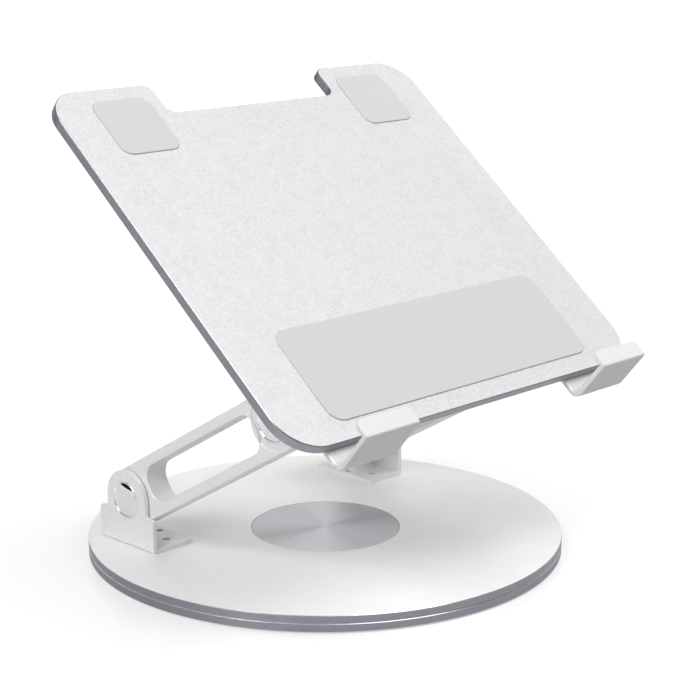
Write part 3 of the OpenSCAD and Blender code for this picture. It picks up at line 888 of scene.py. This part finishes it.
def screwMesh(length):
    # head at z = 0 and tip at z = length; the round socket is then drawn in to a hexagon
    s = screw
    section = [(0, s["socketDepth"]), (s["socket"], s["socketDepth"]), (s["socket"], s["edge"] / 2),
               (s["socket"] + s["edge"], 0), (s["head"] - s["edge"], 0), (s["head"], s["edge"]),
               (s["shank"], s["cone"]), (s["shank"], length), (0, length)]
    bm = lathe(section, s["segments"])
    for vertex in bm.verts:
        radius = math.hypot(vertex.co.x, vertex.co.y)
        if 0 < radius < s["socket"] + near["point"] and vertex.co.z < s["socketDepth"] + near["point"]:
            turn = math.atan2(vertex.co.y, vertex.co.x) % (math.pi / 3) - math.pi / 6
            narrow = math.cos(math.pi / 6) / math.cos(turn)
            vertex.co.x *= narrow
            vertex.co.y *= narrow
    return bm


def makeScrews(name):
    joined = bmesh.new()
    for x, y, low, high in screwPlaces(name, trayPlace):
        one = screwMesh(high - low)
        one.transform(Matrix.Translation((x, y, low)))
        copy = bpy.data.meshes.new("oneScrew")
        one.to_mesh(copy)
        one.free()
        joined.from_mesh(copy)
        bpy.data.meshes.remove(copy)
    makePiece(joined, name.replace("_", ""), trayPlace, steel, "tray", [name])


makeScrews("tray_screws")
makeScrews("hook_screws")
print("screws made")


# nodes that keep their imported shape
kept = {"slide_ring": "slidePlastic", "pivot_hub": "turnedSteel", "retaining_washer": "turnedSteel",
        "hub_screws": "turnedSteel", "bracket_screws": "turnedSteel"}
for name, finish in kept.items():
    mesh = nodes[name].data
    mesh.materials.clear()
    mesh.materials.append(paint[finish])


studio = {"centre": (0, 0, 0.08), "floorReach": 12, "floorTone": 0.46, "floorRough": 0.25,
          "floorGlow": (0.4, 0.95), "mirroredGlow": 0.5, "skyStrength": 0.30, "skyLeast": 0.01,
          "skySeen": 1.05}
skyPatches = [
    {"towards": (0.68, 0.69, 0.3), "narrow": 0.92, "wide": 0.3, "gain": 0.42},  # pale backdrop
    {"towards": (-0.93, 0.25, 0.13), "narrow": 0.985, "wide": 0.95, "gain": -0.29},  # dark flags that the
    {"towards": (-0.75, 0.65, 0.12), "narrow": 0.985, "wide": 0.95, "gain": -0.29},  # chrome caps mirror
    {"towards": (-0.42, 0.9, 0.11), "narrow": 0.985, "wide": 0.95, "gain": -0.29},
]
lamps = {
    "leftBox": {"place": (-1.6, -0.2, 1.35), "size": 0.9, "watts": 30, "mirrored": True},
    "topBox": {"place": (0.1, -0.95, 2.0), "size": 1.3, "watts": 14.5, "mirrored": True},
    "rightBox": {"place": (1.3, -0.7, 1.3), "size": 1.0, "watts": 21, "mirrored": False},
}
view = {"place": (-0.52135, -0.52360, 0.27042), "turn": (75.864, 0, -45.683), "lens": 94.27, "sensor": 36,
        "farthest": 60}


def makeFloor():
    # glows white for the camera, more so further out, and lights the stand as grey
    floor = bpy.data.materials.new("studioFloor")
    floor.use_nodes = True
    tree = floor.node_tree
    shader = tree.nodes["Principled BSDF"]
    shader.inputs["Base Color"].default_value = (studio["floorTone"],) * 3 + (1,)
    shader.inputs["Roughness"].default_value = studio["floorRough"]
    rays = tree.nodes.new("ShaderNodeLightPath")
    place = tree.nodes.new("ShaderNodeTexCoord")
    away = tree.nodes.new("ShaderNodeVectorMath")
    away.operation = "LENGTH"
    tree.links.new(place.outputs["Object"], away.inputs[0])
    glow = mapTo(tree, away.outputs["Value"], *studio["floorGlow"])
    mirrored = addMath(tree, "MULTIPLY", rays.outputs["Is Glossy Ray"], studio["mirroredGlow"])
    seen = addMath(tree, "MAXIMUM", rays.outputs["Is Camera Ray"], mirrored)
    tree.links.new(addMath(tree, "MULTIPLY", glow, seen), shader.inputs["Emission Strength"])
    shader.inputs["Emission Color"].default_value = (1, 1, 1, 1)
    mesh = bpy.data.meshes.new("floor")
    reach = studio["floorReach"]
    mesh.from_pydata([(-reach, -reach, 0), (reach, -reach, 0), (reach, reach, 0), (-reach, reach, 0)], [],
                     [(0, 1, 2, 3)])
    mesh.materials.append(floor)
    plane = bpy.data.objects.new("floor", mesh)
    bpy.context.scene.collection.objects.link(plane)


def makeWorld():
    # an even sky with soft patches; the camera itself sees plain white
    world = bpy.data.worlds.new("studio")
    world.use_nodes = True
    tree = world.node_tree
    background = tree.nodes["Background"]
    background.inputs["Color"].default_value = (1, 1, 1, 1)
    place = tree.nodes.new("ShaderNodeTexCoord")
    total = studio["skyStrength"]
    for patch in skyPatches:
        aim = tree.nodes.new("ShaderNodeVectorMath")
        aim.operation = "DOT_PRODUCT"
        aim.inputs[1].default_value = Vector(patch["towards"]).normalized()
        tree.links.new(place.outputs["Generated"], aim.inputs[0])
        spread = tree.nodes.new("ShaderNodeMapRange")
        spread.interpolation_type = "SMOOTHSTEP"
        spread.inputs["From Min"].default_value = patch["wide"]
        spread.inputs["From Max"].default_value = patch["narrow"]
        spread.inputs["To Max"].default_value = patch["gain"]
        tree.links.new(aim.outputs["Value"], spread.inputs["Value"])
        total = addMath(tree, "ADD", spread.outputs["Result"], total)
    rays = tree.nodes.new("ShaderNodeLightPath")
    chosen = tree.nodes.new("ShaderNodeMix")
    tree.links.new(rays.outputs["Is Camera Ray"], chosen.inputs["Factor"])
    tree.links.new(addMath(tree, "MAXIMUM", total, studio["skyLeast"]), chosen.inputs[2])
    chosen.inputs[3].default_value = studio["skySeen"]
    tree.links.new(chosen.outputs[0], background.inputs["Strength"])
    bpy.context.scene.world = world


def makeLamp(name, lamp):
    light = bpy.data.lights.new(name, "AREA")
    light.shape = "SQUARE"
    light.size = lamp["size"]
    light.energy = lamp["watts"]
    holder = bpy.data.objects.new(name, light)
    aim = Vector(studio["centre"]) - Vector(lamp["place"])
    holder.location = lamp["place"]
    holder.rotation_euler = aim.to_track_quat("-Z", "Y").to_euler()
    holder.visible_glossy = lamp["mirrored"]
    bpy.context.scene.collection.objects.link(holder)


def makeCamera():
    lens = bpy.data.cameras.new("camera")
    lens.lens = view["lens"]
    lens.sensor_width = view["sensor"]
    lens.clip_end = view["farthest"]
    camera = bpy.data.objects.new("camera", lens)
    camera.location = view["place"]
    camera.rotation_euler = [math.radians(angle) for angle in view["turn"]]
    bpy.context.scene.collection.objects.link(camera)
    bpy.context.scene.camera = camera


makeFloor()
makeWorld()
for name, lamp in lamps.items():
    makeLamp(name, lamp)
makeCamera()
bpy.context.scene.view_settings.view_transform = "Standard"
print("studio ready")
